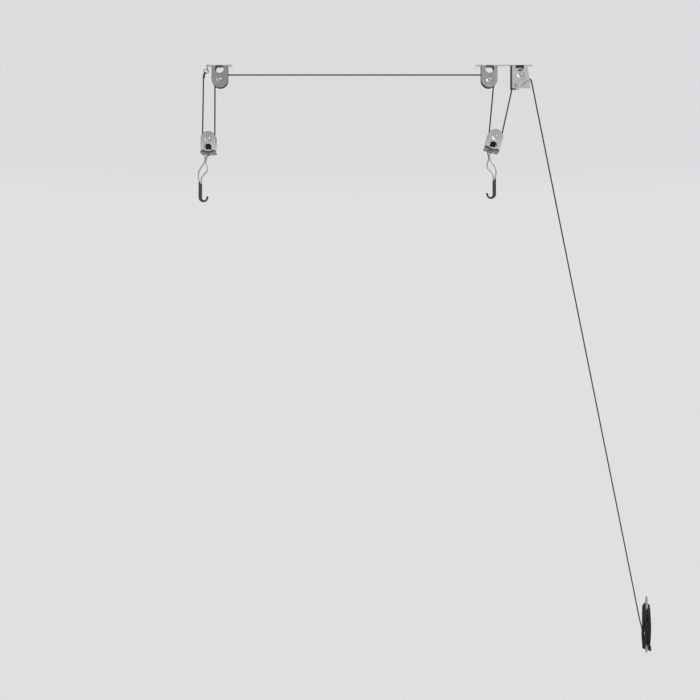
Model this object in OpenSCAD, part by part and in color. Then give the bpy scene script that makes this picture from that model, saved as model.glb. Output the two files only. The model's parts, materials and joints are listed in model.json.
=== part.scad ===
/* [Spacing] */
// Distance between the two ceiling pulley axles
pulley_span = 807; // [780:1:830]
// Distance from the left axle to the brake axle
brake_reach = 900; // [890:1:910]
// Distance from the ceiling to the two ceiling axles
axle_drop = 42; // [40:1:44]
// Distance from the ceiling to the brake axle
brake_drop = 29; // [28:0.5:30]
// Left lower axle, measured from the left ceiling axle
left_block_x = -34; // [-36:1:-32]
// Height of the left lower axle
left_block_z = -220; // [-260:1:-200]
// Right lower axle, measured from the left ceiling axle
right_block_x = 825; // [822:1:828]
// Height of the right lower axle
right_block_z = -214; // [-240:1:-200]
// How far the right lower block leans
right_lean = 16; // [0:1:20]

/* [Sheet metal] */
// Thickness of the pressed sheet
sheet = 2.5; // [2:0.1:3]
// Clear gap between the two ears of a bracket
gap = 20; // [20:0.5:22]
// Width of a ceiling bracket's ears
ear_w = 48; // [46:1:52]
// Width of a lower block's ears
block_w = 45; // [44:1:48]
// Length of the left bracket's base
left_base = 76; // [74:1:80]
// Radius of the round window at the fold
window_r = 13; // [11:0.5:13]
// Distance from the base's outer face to the window's centre
window_drop = 11; // [10:0.5:12]
// Radius of a mounting hole
hole_r = 2.75; // [2.5:0.05:3]

/* [Pulleys] */
// Rope diameter
rope_d = 4; // [3.8:0.1:4.2]
// Radius of the rope's centre line on the ceiling and brake pulleys
top_pitch = 15; // [14.5:0.1:15]
// Radius of the rope's centre line on the lower pulleys
low_pitch = 18.5; // [18:0.1:19]
// Outer radius of the sleeve that a pulley turns on
sleeve_r = 5; // [4.8:0.1:5]

/* [Brake] */
// Cam pin, measured from the brake axle
cam_pin_x = -7; // [-8:0.5:-6]
// Height of the cam pin below the brake axle
cam_pin_drop = 35; // [34.5:0.5:36]
// Thickness of the cam
cam_t = 11; // [9:0.5:12]

/* [Hook plates and hooks] */
// Width of a hook plate
hook_plate_w = 45; // [43:1:48]
// Length of a hook plate from front to back
hook_plate_l = 50; // [48:1:54]
// Distance of each hook from the middle of its plate
hook_y = 18; // [17.5:0.5:19]
// Diameter of the hook wire
wire_d = 4; // [3.5:0.1:4.2]
// Outer diameter of the soft coating
grip_d = 6.6; // [6:0.1:7]
// Radius of the hook's bend
bend_r = 12; // [11:0.5:13]

/* [Cleat] */
// Length of the cleat over its horns
cleat_l = 190; // [180:1:200]
// Distance between the cleat's screw holes
cleat_hole_gap = 50; // [48:1:54]

/* [Hidden] */

$fn = 64;
eps = 0.01;
in_y = gap / 2;
out_y = in_y + sheet;
rope_r = rope_d / 2;
wire_r = wire_d / 2;
grip_r = grip_d / 2;
run_gap = 0.05;
air = 0.3;

fold_r = 3;

// Rivet seat: a shallow dish pressed into each ear
dish_depth = 1.3;
dish_r = 6.4;
dish_rim_r = 9.8;
dish_skin = 0.8;
rivet_r = 3;
rivet_bore = 1.7;
rivet_head_r = 5.8;
rivet_head_t = 1.6;
hub_half = in_y - dish_depth - 0.4;
rim_half = 6.5;

// Axles, as [x, z]
left_axle = [0, -axle_drop];
right_axle = [pulley_span, -axle_drop];
brake_axle = [brake_reach, -brake_drop];
left_low = [left_block_x, left_block_z];
right_low = [right_block_x, right_block_z];
cam_pin_at = [brake_axle.x + cam_pin_x, brake_axle.y - cam_pin_drop];

// Bases on the ceiling
left_end = -left_base / 2 - 1.5;
right_start = pulley_span - 42;
right_end = brake_reach + 36;
left_holes = [-31, 31];
right_holes = [right_start + 8, right_end - 7];

// Brake housing
side_left = brake_reach - 28;
housing_left = side_left + sheet;
housing_right = brake_reach + 21;
housing_foot = -brake_drop - cam_pin_drop - 5;
housing_rivet_xs = [brake_reach - 20, brake_reach + 15];
housing_rivet_r = 2.5;
brake_window = [brake_reach - 3, -6];
small_window_r = 12;

// Tab and ring that hold the fixed end of the rope
tab_drop = 15.5;
tab_half = 6;
tab_hole_z = -9.8;
tab_hole_r = 3.2;
ring_at = [left_end - 2.25, -15.9];
ring_r = 7;
ring_wire_r = 1.3;
eye_pull = [-0.5, -0.866];
eye_top = ring_at + ring_r * eye_pull;
eye_half = 3.5;
eye_leg_r = rope_r - 0.2;
whip_top = eye_top + 6 * eye_pull;
fall_top = [-49.5, -40];
whip_r = 3.1;

// Rope's way out of the brake, over the cam's nose
exit_corner = [934, -44];

// Lower blocks, measured down from their axle
block_floor = 36;
low_window_drop = 27.5;
bolt_r = 4;
bolt_head_r = 9;
bolt_head_t = 7.3;
seat_r = 9.6;
seat_t = 3.7;
spacer_r = 8;
swivel_gap = 4.2;
plate_top = block_floor + swivel_gap;
hook_plate_t = 3;
plate_bottom = plate_top + hook_plate_t;
plate_middle = plate_bottom - hook_plate_t / 2;
plate_corner = 6;
nut_t = 5;
hook_hole_r = 2.7;
hook_hole_x = -8;
hook_head_r = 3.6;
hook_head_t = 1.5;
hook_head_lift = 4.3;

// Hook shanks, as [x, z] below the plate's lower face
near_shank = [
    [0, 5], [0, -14], [-1, -26], [-5, -36], [-13, -47], [-18, -57], [-20, -68], [-18.5, -80], [-17, -90]
];
far_shank = [
    [0, 5], [0, -7], [-2.6, -17], [-2, -25], [1.2, -36], [2.1, -43], [0, -50],
    [-8, -59], [-15, -68], [-16.8, -76], [-17, -86], [-17, -94]
];
near_bend = [bend_r, 133.5];
far_bend = [bend_r - 3, 130];
cap_steps = [[0.5, 0.87], [0.87, 0.5], [0.98, 0.17]];
tip_rise = 1;
grip_start = 88;

// Cleat and the rope wound on it
cleat_at = [1390, 373, -1777];
wall_y = 400;
horn_root_r = 6.5;
horn_tip_r = 4;
post_r = 6;
post_z = 15;
cleat_base = [16, 5, 66];
hank_w = 28;
hank_h = 160;
hank_drop = 8.5;
hank_front = 31;
hank_end_front = 14;
hank_back = 12;
knot_at = [5.5, -20, -68];

hank_at = cleat_at - [0, 0, hank_drop];

// Route of the rope from the brake to the cleat
tail_route = [
    [934, 0, -44], [963, 25, -159], [992, 50, -274], [1021, 75, -389], [1050, 100, -504],
    [1079, 125, -619], [1108, 150, -734], [1137, 175, -849], [1166, 200, -964], [1195, 225, -1079],
    [1224, 250, -1194], [1253, 275, -1309], [1282, 300, -1424], [1311, 325, -1539],
    [1340, 350, -1654], [1368, 370, -1769], [1375, 374, -1793]
];

steel = [0.57, 0.58, 0.58];
light_steel = [0.7, 0.71, 0.71];
zinc = [0.8, 0.81, 0.82];
black = [0.09, 0.09, 0.1];
soft_black = [0.13, 0.13, 0.14];

function unit(v) = v / norm(v);

// Direction of the rope between two wheels that it crosses, going up from a to b
function lean(a, b, ra, rb) =
    atan2(b.x - a.x, b.y - a.y) - asin((ra + rb) / norm(b - a));
function on_right(c, r, angle) = c + r * [cos(angle), -sin(angle)];
function on_left(c, r, angle) = c - r * [cos(angle), -sin(angle)];

// The anchored fall touches the left lower pulley on its left
left_fall_foot = [left_low.x - low_pitch, left_low.y];
left_rise_foot = [left_low.x + low_pitch, left_low.y];
left_rise_head = [left_axle.x - top_pitch, left_axle.y];
right_fall_lean = atan2(right_axle.x - right_low.x, right_axle.y - right_low.y)
    + asin((top_pitch + low_pitch) / norm(right_axle - right_low));
right_fall_foot = on_left(right_low, low_pitch, right_fall_lean);
right_fall_head = on_right(right_axle, top_pitch, right_fall_lean);
right_rise_lean = lean(right_low, brake_axle, low_pitch, top_pitch);
right_rise_foot = on_right(right_low, low_pitch, right_rise_lean);
right_rise_head = on_left(brake_axle, top_pitch, right_rise_lean);

// Last touch on the brake pulley, and the bend over the cam's nose
exit_line = exit_corner - brake_axle;
exit_angle = atan2(exit_line.y, exit_line.x) + acos(top_pitch / norm(exit_line));
exit_touch = brake_axle + top_pitch * [cos(exit_angle), sin(exit_angle)];

module across(y0, y1) {
    translate([0, y1, 0]) rotate([90, 0, 0]) linear_extrude(y1 - y0) children();
}

module pin_y(at, r, y0, y1) {
    translate([at.x, y0, at.y]) rotate([-90, 0, 0]) cylinder(r = r, h = y1 - y0);
}

module turned(at) {
    translate([at.x, 0, at.y]) rotate([-90, 0, 0]) rotate_extrude() children();
}

module rod(a, b, r) {
    d = b - a;
    translate(a)
        rotate([0, acos(d.z / norm(d)), atan2(d.y, d.x)])
            cylinder(r = r, h = norm(d));
}

module flat_rod(a, b, r) {
    rod([a.x, 0, a.y], [b.x, 0, b.y], r);
}

// Part of a ring about the Y direction, from angle a0 to a1 seen with X right and Z up
module arc_rod(c, big, r, a0, a1) {
    translate([c.x, 0, c.y]) rotate([90, 0, 0]) rotate([0, 0, a0])
        rotate_extrude(angle = a1 - a0) translate([big, 0]) circle(r = r);
}

// Round bar swept along a path of [x, z] points in the plane y = 0, one radius for each point
function path_dir(p, i) =
    unit(p[min(i + 1, len(p) - 1)] - p[max(i - 1, 0)]);

module flat_sweep(p, radii, sides) {
    n = len(p);
    rings = [
        for (i = [0 : n - 1]) let (d = path_dir(p, i))
            for (k = [0 : sides - 1]) let (a = 360 * k / sides, r = radii[i])
                [p[i].x + r * cos(a) * d.y, r * sin(a), p[i].y - r * cos(a) * d.x]
    ];
    skin_of(rings, n, sides);
}

// Round bar swept along a path of points that never runs along Y
module space_sweep(p, r, sides) {
    n = len(p);
    rings = [
        for (i = [0 : n - 1])
            let (d = path_dir(p, i), u = unit(cross(d, [0, 1, 0])), v = cross(d, u))
                for (k = [0 : sides - 1]) let (a = 360 * k / sides)
                    p[i] - r * cos(a) * u + r * sin(a) * v
    ];
    skin_of(rings, n, sides);
}

module skin_of(rings, n, sides) {
    polyhedron(
        points = rings,
        faces = concat(
            [[for (k = [0 : sides - 1]) k]],
            [
                for (i = [0 : n - 2]) for (k = [0 : sides - 1])
                    [
                        i * sides + k, (i + 1) * sides + k,
                        (i + 1) * sides + (k + 1) % sides, i * sides + (k + 1) % sides
                    ]
            ],
            [[for (k = [sides - 1 : -1 : 0]) (n - 1) * sides + k]]
        ),
        convexity = 6
    );
}

// Sheet metal

// Two facing ears with a pressed dish and a rivet hole at the axle
module ears(axle) {
    for (side = [0, 1]) mirror([0, side, 0])
        difference() {
            union() {
                across(in_y, out_y) children();
                translate([axle.x, in_y - dish_depth, axle.y]) rotate([-90, 0, 0])
                    cylinder(r1 = dish_r + dish_skin, r2 = dish_rim_r + dish_skin, h = dish_depth + eps);
            }
            translate([axle.x, out_y - dish_depth, axle.y]) rotate([-90, 0, 0])
                cylinder(r1 = dish_r, r2 = dish_rim_r, h = dish_depth + eps);
            pin_y(axle, rivet_r, in_y - 2 * dish_depth, out_y + 1);
        }
}

// Round window punched through both folds of a bracket
module fold_windows(at, r) {
    for (side = [0, 1]) mirror([0, side, 0]) pin_y(at, r, in_y, out_y + 1);
}

// Corners to take off the outside of both folds of a bracket under the ceiling
module fold_corners(x0, x1) {
    for (side = [0, 1]) mirror([0, side, 0])
        translate([x0, out_y - fold_r, -fold_r]) rotate([90, 0, 90])
            linear_extrude(x1 - x0) difference() {
                square(fold_r + 1);
                circle(r = fold_r);
            }
}

module ceiling_ear(axle, w) {
    r = w / 2;
    translate(axle) circle(r = r);
    translate([axle.x - r, axle.y]) square([w, -axle.y]);
}

module base_strip(x0, x1) {
    translate([x0, -out_y, -sheet]) cube([x1 - x0, 2 * out_y, sheet]);
}

module mounting_holes(xs) {
    for (x = xs) translate([x, 0, -sheet - 1]) cylinder(r = hole_r, h = sheet + 2);
}

module left_bracket() {
    color(steel) difference() {
        union() {
            base_strip(left_end, left_base / 2);
            ears(left_axle) ceiling_ear(left_axle, ear_w);
            translate([left_end, -tab_half, -tab_drop]) cube([sheet, 2 * tab_half, tab_drop]);
        }
        fold_windows([0, -window_drop], window_r);
        fold_corners(-ear_w / 2, ear_w / 2);
        mounting_holes(left_holes);
        translate([left_end - 1, 0, tab_hole_z]) rotate([0, 90, 0]) cylinder(r = tab_hole_r, h = sheet + 2);
    }
}

module right_bracket() {
    color(steel) difference() {
        union() {
            base_strip(right_start, right_end);
            ears(right_axle) ceiling_ear(right_axle, ear_w);
        }
        fold_windows([right_axle.x, -window_drop], window_r);
        fold_corners(right_axle.x - ear_w / 2, right_axle.x + ear_w / 2);
        fold_windows(brake_window, small_window_r);
        mounting_holes(right_holes);
        for (x = housing_rivet_xs) translate([x, 0, -sheet - 1]) cylinder(r = housing_rivet_r, h = sheet + 2);
    }
}

// Brake housing: ears joined by a flange under the base strip, and a plate across its left side

module housing_ear() {
    polygon([
        [housing_left, -sheet], [housing_right, -sheet], [brake_reach + 25, -36],
        [brake_reach + 27.5, -40.5], [brake_reach + 3, -59.5], [brake_reach + 2, -64],
        [brake_reach - 1, housing_foot], [housing_left, housing_foot]
    ]);
}

module brake_housing() {
    color(light_steel) difference() {
        union() {
            ears(brake_axle) housing_ear();
            translate([housing_left, -out_y, -2 * sheet])
                cube([housing_right - housing_left, 2 * out_y, sheet]);
        }
        fold_windows(brake_window, small_window_r);
        pin_y(cam_pin_at, rivet_r, -out_y - 1, out_y + 1);
        for (z = [8, 1]) pin_y([cam_pin_at.x - 8, cam_pin_at.y + z - 1], 1.4, -out_y - 1, -in_y + 1);
        for (x = housing_rivet_xs) translate([x, 0, -2 * sheet - 1])
            cylinder(r = housing_rivet_r, h = 2 * sheet + 2);
    }
}

module brake_side_plate() {
    color(black) translate([side_left, -out_y, housing_foot])
        cube([sheet, 2 * out_y, -sheet - housing_foot]);
}

module housing_rivets() {
    color(zinc) for (x = housing_rivet_xs) translate([x, 0, 0]) {
        translate([0, 0, -2 * sheet]) cylinder(r = housing_rivet_r, h = 2 * sheet);
        translate([0, 0, -2 * sheet - 1.6]) cylinder(r1 = 3, r2 = 4.2, h = 1.6);
    }
}

// Hollow rivet with a rolled head on each side
module hollow_rivet(at) {
    color(zinc) difference() {
        union() {
            pin_y(at, rivet_r, -out_y, out_y);
            for (side = [0, 1]) mirror([0, side, 0])
                translate([at.x, out_y - dish_depth, at.y]) rotate([-90, 0, 0]) {
                    cylinder(r = rivet_head_r, h = rivet_head_t / 2);
                    translate([0, 0, rivet_head_t / 2])
                        cylinder(r1 = rivet_head_r, r2 = rivet_head_r - 1.4, h = rivet_head_t / 2);
                }
        }
        pin_y(at, rivet_bore, -out_y - 3, out_y + 3);
        for (side = [0, 1]) mirror([0, side, 0])
            translate([at.x, out_y, at.y]) rotate([-90, 0, 0]) cylinder(r1 = rivet_bore, r2 = 3.2, h = 1);
    }
}

// Steel sleeve that keeps the ears apart and that the pulley turns on
module sleeve(at, end_gap) {
    half = in_y - dish_depth - end_gap;
    color(zinc) difference() {
        pin_y(at, sleeve_r, -half, half);
        pin_y(at, rivet_r + run_gap, -in_y, in_y);
    }
}

// Grooved pulley wheel for a rope whose centre line runs at the pitch radius
module pulley(at, pitch) {
    rim = pitch + 3;
    groove_r = rope_r + 0.4;
    color(black) turned(at) difference() {
        polygon([
            [sleeve_r + run_gap, -hub_half], [sleeve_r + 3.5, -hub_half], [sleeve_r + 4.5, -rim_half + 1],
            [rim - 1, -rim_half], [rim, -rim_half + 0.6],
            [rim, rim_half - 0.6], [rim - 1, rim_half], [sleeve_r + 4.5, rim_half - 1],
            [sleeve_r + 3.5, hub_half], [sleeve_r + run_gap, hub_half]
        ]);
        translate([pitch, 0]) circle(r = groove_r);
        polygon([
            [pitch, -groove_r], [rim + 1, -rim_half + 1.2], [rim + 1, rim_half - 1.2], [pitch, groove_r]
        ]);
    }
}

// Fixed end of the rope

module anchor_ring() {
    color(zinc) turned(ring_at) translate([ring_r, 0]) circle(r = ring_wire_r);
}

// Eye in the rope's end, its two legs on either side of the ring, with a whipping below
module anchor_eye() {
    eye_lean = atan2(-eye_pull.x, -eye_pull.y);
    color(soft_black) {
        for (side = [-1, 1])
            rod([eye_top.x, side * eye_half, eye_top.y], [whip_top.x, side * 2, whip_top.y], eye_leg_r);
        translate([eye_top.x, 0, eye_top.y]) rotate([0, eye_lean, 0])
            rotate([90, 0, 90]) rotate_extrude(angle = 180) translate([eye_half, 0]) circle(r = eye_leg_r);
        flat_rod(whip_top - 1.5 * eye_pull, fall_top, whip_r);
    }
}

// Brake

module cam_outline() {
    tooth_from = [brake_reach + 4, -61];
    tooth_to = [brake_reach + 27, -44.5];
    teeth = 7;
    along = (tooth_to - tooth_from) / teeth;
    up = [-unit(along).y, unit(along).x];
    polygon(concat(
        [for (i = [0 : teeth - 1]) each [tooth_from + i * along, tooth_from + (i + 0.75) * along + 1.7 * up]],
        [
            tooth_to, [brake_reach + 30, -46.5], [brake_reach + 30, -66], [brake_reach + 27, -69.5],
            [brake_reach + 4, -66.5], [cam_pin_at.x, cam_pin_at.y - 6], [cam_pin_at.x, cam_pin_at.y + 6]
        ]
    ));
}

module brake_cam() {
    color(steel) difference() {
        union() {
            across(-cam_t / 2 - 2, cam_t / 2 - 2) cam_outline();
            pin_y(cam_pin_at, 6, -in_y + air, cam_t / 2 - 2);
        }
        pin_y(cam_pin_at, rivet_r + run_gap, -in_y, in_y);
    }
}

module cam_pin() {
    color(zinc) {
        pin_y(cam_pin_at, rivet_r, -out_y - 0.5, out_y + 0.5);
        for (side = [0, 1]) mirror([0, side, 0])
            translate([cam_pin_at.x, out_y, cam_pin_at.y]) rotate([-90, 0, 0])
                cylinder(r1 = 4.5, r2 = 3.6, h = 1.4);
    }
}

// Torsion spring: close coils round the pin, and a leg that clips through the near ear
module cam_spring() {
    coil_in = 3.9;
    coil_out = 5.3;
    coil_from = 4.3;
    coil_to = 8.3;
    leg_r = 0.7;
    link_r = 0.6;
    leg = [cam_pin_at.x - 8, cam_pin_at.y + 7];
    heel = [leg.x, cam_pin_at.y];
    color(zinc) {
        difference() {
            pin_y(cam_pin_at, coil_out, coil_from, coil_to);
            pin_y(cam_pin_at, coil_in, coil_from - 1, coil_to + 1);
        }
        translate([0, coil_to - 1.5, 0])
            flat_rod(cam_pin_at + (coil_in + coil_out) / 2 * unit(leg - cam_pin_at), leg, link_r);
        pin_y(leg, leg_r, -out_y - 1.7, coil_to);
        pin_y(heel, leg_r, -out_y - 1.7, -in_y + 2);
        translate([0, -out_y - 1, 0]) flat_rod(leg, heel, link_r);
    }
}

// Lower blocks: drawn about their own axle, then leaned and set in place

module at_block(at, angle) {
    translate([at.x, 0, at.y]) rotate([0, angle, 0]) children();
}

module block_ear() {
    r = block_w / 2;
    circle(r = r);
    translate([-r, -block_floor]) square([block_w, block_floor]);
}

module block_frame() {
    color(light_steel) difference() {
        union() {
            ears([0, 0]) block_ear();
            translate([-block_w / 2, -out_y, -block_floor]) cube([block_w, 2 * out_y, sheet]);
        }
        fold_windows([0, -low_window_drop], small_window_r);
        translate([0, 0, -block_floor]) mirror([0, 0, 1]) fold_corners(-block_w / 2, block_w / 2);
        translate([0, 0, -block_floor - 1]) cylinder(r = bolt_r + run_gap, h = sheet + 2);
    }
}

// Seat on the block's floor, under the bolt's head
module swivel_seat() {
    color(zinc) translate([0, 0, sheet - block_floor]) difference() {
        union() {
            cylinder(r = seat_r, h = 1.2);
            translate([0, 0, 1.2]) cylinder(r1 = seat_r, r2 = seat_r - 2.5, h = seat_t - 1.2);
        }
        translate([0, 0, -1]) cylinder(r = bolt_r, h = seat_t + 2);
    }
}

module swivel_bolt() {
    head_foot = sheet + seat_t - block_floor;
    shank_foot = -plate_bottom - nut_t - 1.5;
    color(black) {
        translate([0, 0, head_foot]) cylinder(r = bolt_head_r, h = bolt_head_t);
        translate([0, 0, shank_foot]) cylinder(r = bolt_r, h = head_foot - shank_foot);
    }
}

// Spacer between the block and the hook plate
module swivel_spacer() {
    color(zinc) translate([0, 0, air - plate_top]) difference() {
        cylinder(r = spacer_r, h = swivel_gap - air);
        translate([0, 0, -1]) cylinder(r = bolt_r, h = swivel_gap + 2);
    }
}

module swivel_nut() {
    color(zinc) difference() {
        union() {
            translate([0, 0, -plate_bottom - air - 1]) cylinder(r = 8, h = 1);
            translate([0, 0, -plate_bottom - air - nut_t]) cylinder(r = 6.6, h = nut_t - 1, $fn = 6);
        }
        translate([0, 0, -plate_bottom - nut_t - 2]) cylinder(r = bolt_r, h = nut_t + 3);
    }
}

module hook_plate() {
    color(light_steel) difference() {
        translate([0, 0, -plate_bottom]) linear_extrude(hook_plate_t) union() {
            square([hook_plate_w, hook_plate_l - 2 * plate_corner], center = true);
            square([hook_plate_w - 2 * plate_corner, hook_plate_l], center = true);
            for (x = [-1, 1]) for (y = [-1, 1])
                translate([x * (hook_plate_w / 2 - plate_corner), y * (hook_plate_l / 2 - plate_corner)])
                    circle(r = plate_corner);
        }
        translate([0, 0, -plate_bottom - 1]) cylinder(r = bolt_r + run_gap, h = hook_plate_t + 2);
        for (y = [-hook_y, hook_y]) translate([hook_hole_x, y, -plate_bottom - 1])
            cylinder(r = hook_hole_r, h = hook_plate_t + 2);
    }
}

// Hooks: the centre line runs down the shank, round the bend and up to the tip.
// A bend is [radius, drop of its centre].
function bend_points(x0, b) = [
    for (a = [180 : 15 : 360]) [x0 + b[0] + b[0] * cos(a), -b[1] + b[0] * sin(a)]
];
function shank_end(p) = p[len(p) - 1];
function hook_line(p, b) = concat(
    p, [[shank_end(p).x, -118]], bend_points(shank_end(p).x, b),
    [[shank_end(p).x + 2 * b[0] + 0.2, -b[1] + tip_rise]]
);
function grip_line(p, b) = [for (q = hook_line(p, b)) if (q.y < -grip_start + 1) q];

module hook_core(p, b) {
    line = hook_line(p, b);
    flat_sweep(line, [for (q = line) wire_r], 10);
}

module hook_wire(p, b) {
    color(zinc) {
        hook_core(p, b);
        translate([0, 0, hook_head_lift]) cylinder(r = hook_head_r, h = hook_head_t);
    }
}

module hook_grip(p, b) {
    line = grip_line(p, b);
    tip = line[len(line) - 1];
    out = path_dir(line, len(line) - 1);
    capped = concat(line, [for (c = cap_steps) tip + c[0] * grip_r * out]);
    radii = concat([for (q = line) grip_r], [for (c = cap_steps) c[1] * grip_r]);
    color(soft_black) difference() {
        flat_sweep(capped, radii, 12);
        hook_core(p, b);
    }
}

// Hooks hang upright from their holes, whichever way the block leans
function hook_at(at, angle, y) = [
    at.x + hook_hole_x * cos(angle) - plate_middle * sin(angle), y,
    at.y - hook_hole_x * sin(angle) - plate_middle * cos(angle) - hook_plate_t / 2
];

module hang_hook(at, angle, y, turn) {
    translate(hook_at(at, angle, y)) rotate([0, 0, turn]) children();
}

// Cleat on the wall

module cleat() {
    half = cleat_l / 2;
    wall = wall_y - cleat_at.y;
    color(steel) translate(cleat_at) difference() {
        union() {
            translate([-cleat_base.x / 2, wall - cleat_base.y, -cleat_base.z / 2]) cube(cleat_base);
            for (z = [-post_z, post_z]) pin_y([0, z], post_r, 0, wall - 1);
            for (side = [0, 1]) mirror([0, 0, side]) {
                cylinder(r1 = horn_root_r, r2 = horn_tip_r, h = half - horn_tip_r);
                translate([0, 0, half - horn_tip_r]) sphere(r = horn_tip_r);
            }
        }
        for (z = [-1, 1]) pin_y([0, z * cleat_hole_gap / 2], hole_r, wall - 8, wall + 1);
    }
}

// Rope

// A strand stops just short of the bight that moves with the lower block
module strand(foot, head) {
    color(black) flat_rod(foot + air * unit(head - foot), head, rope_r);
}

module left_fall() {
    strand(left_fall_foot, fall_top);
}

module left_bight() {
    color(black) arc_rod(left_low, low_pitch, rope_r, 180, 360);
}

module left_rise() {
    strand(left_rise_foot, left_rise_head);
}

module left_turn() {
    color(black) arc_rod(left_axle, top_pitch, rope_r, 90, 180);
}

module top_run() {
    color(black) flat_rod(left_axle + [0, top_pitch], right_axle + [0, top_pitch], rope_r);
}

module right_turn() {
    color(black) arc_rod(right_axle, top_pitch, rope_r, -right_fall_lean, 90);
}

module right_fall() {
    strand(right_fall_foot, right_fall_head);
}

module right_bight() {
    color(black) arc_rod(right_low, low_pitch, rope_r, 180 - right_fall_lean, 360 - right_rise_lean);
}

module right_rise() {
    strand(right_rise_foot, right_rise_head);
}

module brake_turn() {
    start = 180 - right_rise_lean;
    path = concat(
        [for (k = [0 : 10]) let (a = start + (exit_angle - start) * k / 10)
            brake_axle + top_pitch * [cos(a), sin(a)]],
        [exit_corner]
    );
    color(black) flat_sweep(path, [for (q = path) rope_r], 10);
}

module tail() {
    color(black) space_sweep(tail_route, rope_r, 10);
}

// Turns wound on the cleat: deepest where they cross in the middle
module hank_side() {
    ends = hank_h / 2;
    polygon([
        [hank_back, -ends], [hank_back, ends], [-hank_end_front, ends], [-hank_end_front, ends - 25],
        [-hank_front, 20], [-hank_front, -20], [-hank_end_front, 25 - ends], [-hank_end_front, -ends]
    ]);
}

module hank() {
    color(soft_black) difference() {
        translate(hank_at) intersection() {
            across(-hank_front, hank_back) {
                for (z = [-1, 1]) translate([0, z * (hank_h - hank_w) / 2]) circle(r = hank_w / 2);
                square([hank_w, hank_h - hank_w], center = true);
            }
            translate([-hank_w, 0, 0]) rotate([90, 0, 90]) linear_extrude(2 * hank_w) hank_side();
        }
        cleat();
    }
}

module end_knot() {
    color(soft_black) translate(hank_at + knot_at) rotate_extrude()
        polygon([[0, -8], [4, -7], [5.5, -3], [5.5, 3], [4, 9], [0, 9]]);
}

left_bracket();
hollow_rivet(left_axle);  // left_rivet
sleeve(left_axle, 0);  // left_sleeve
pulley(left_axle, top_pitch);  // left_pulley
anchor_ring();
anchor_eye();
right_bracket();
hollow_rivet(right_axle);  // right_rivet
sleeve(right_axle, 0);  // right_sleeve
pulley(right_axle, top_pitch);  // right_pulley
brake_housing();
brake_side_plate();
housing_rivets();
hollow_rivet(brake_axle);  // brake_rivet
sleeve(brake_axle, 0);  // brake_sleeve
pulley(brake_axle, top_pitch);  // brake_pulley
brake_cam();
cam_pin();
cam_spring();
at_block(left_low, 0) block_frame();  // left_block
at_block(left_low, 0) hollow_rivet([0, 0]);  // left_block_rivet
sleeve(left_low, 0.2);  // left_block_sleeve
pulley(left_low, low_pitch);  // left_block_pulley
at_block(left_low, 0) swivel_seat();  // left_swivel_seat
at_block(left_low, 0) swivel_spacer();  // left_swivel_spacer
at_block(left_low, 0) swivel_bolt();  // left_swivel_bolt
at_block(left_low, 0) swivel_nut();  // left_swivel_nut
at_block(left_low, 0) hook_plate();  // left_hook_plate
hang_hook(left_low, 0, -hook_y, 0) hook_wire(near_shank, near_bend);  // left_near_hook
hang_hook(left_low, 0, -hook_y, 0) hook_grip(near_shank, near_bend);  // left_near_grip
hang_hook(left_low, 0, hook_y, 0) hook_wire(far_shank, far_bend);  // left_far_hook
hang_hook(left_low, 0, hook_y, 0) hook_grip(far_shank, far_bend);  // left_far_grip
at_block(right_low, right_lean) block_frame();  // right_block
at_block(right_low, right_lean) hollow_rivet([0, 0]);  // right_block_rivet
sleeve(right_low, 0.2);  // right_block_sleeve
pulley(right_low, low_pitch);  // right_block_pulley
at_block(right_low, right_lean) swivel_seat();  // right_swivel_seat
at_block(right_low, right_lean) swivel_spacer();  // right_swivel_spacer
at_block(right_low, right_lean) swivel_bolt();  // right_swivel_bolt
at_block(right_low, right_lean) swivel_nut();  // right_swivel_nut
at_block(right_low, right_lean) hook_plate();  // right_hook_plate
hang_hook(right_low, right_lean, -hook_y, 180) hook_wire(near_shank, near_bend);  // right_near_hook
hang_hook(right_low, right_lean, -hook_y, 180) hook_grip(near_shank, near_bend);  // right_near_grip
hang_hook(right_low, right_lean, hook_y, 180) hook_wire(far_shank, far_bend);  // right_far_hook
hang_hook(right_low, right_lean, hook_y, 180) hook_grip(far_shank, far_bend);  // right_far_grip
left_fall();
left_bight();
left_rise();
left_turn();
top_run();
right_turn();
right_fall();
right_bight();
right_rise();
brake_turn();
tail();
hank();
end_knot();
cleat();
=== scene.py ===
import json
import math

import bpy
import numpy as np
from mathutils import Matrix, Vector


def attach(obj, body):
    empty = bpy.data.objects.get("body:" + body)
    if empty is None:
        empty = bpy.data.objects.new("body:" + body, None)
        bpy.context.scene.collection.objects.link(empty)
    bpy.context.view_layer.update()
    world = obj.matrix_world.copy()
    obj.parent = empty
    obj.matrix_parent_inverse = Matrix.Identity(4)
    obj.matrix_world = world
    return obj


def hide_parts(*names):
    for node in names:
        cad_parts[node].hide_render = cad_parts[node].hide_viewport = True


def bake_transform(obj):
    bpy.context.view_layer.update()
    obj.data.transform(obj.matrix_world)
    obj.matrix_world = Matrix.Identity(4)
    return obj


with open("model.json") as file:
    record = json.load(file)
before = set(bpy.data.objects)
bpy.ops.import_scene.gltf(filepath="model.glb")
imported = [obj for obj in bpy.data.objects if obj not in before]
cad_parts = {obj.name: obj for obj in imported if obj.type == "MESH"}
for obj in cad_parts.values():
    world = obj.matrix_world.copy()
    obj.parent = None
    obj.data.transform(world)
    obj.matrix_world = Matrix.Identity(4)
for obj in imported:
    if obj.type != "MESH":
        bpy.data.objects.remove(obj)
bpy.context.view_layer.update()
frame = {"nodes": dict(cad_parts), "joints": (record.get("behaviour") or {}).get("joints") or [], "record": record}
joints = {j["name"]: j for j in frame["joints"]}
MM = 0.001


# ---------------------------------------------------------------- camera

VIEW_CENTRE = Vector((0.390, 0.0, -0.852))
VIEW_DISTANCE = 3.0

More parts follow.
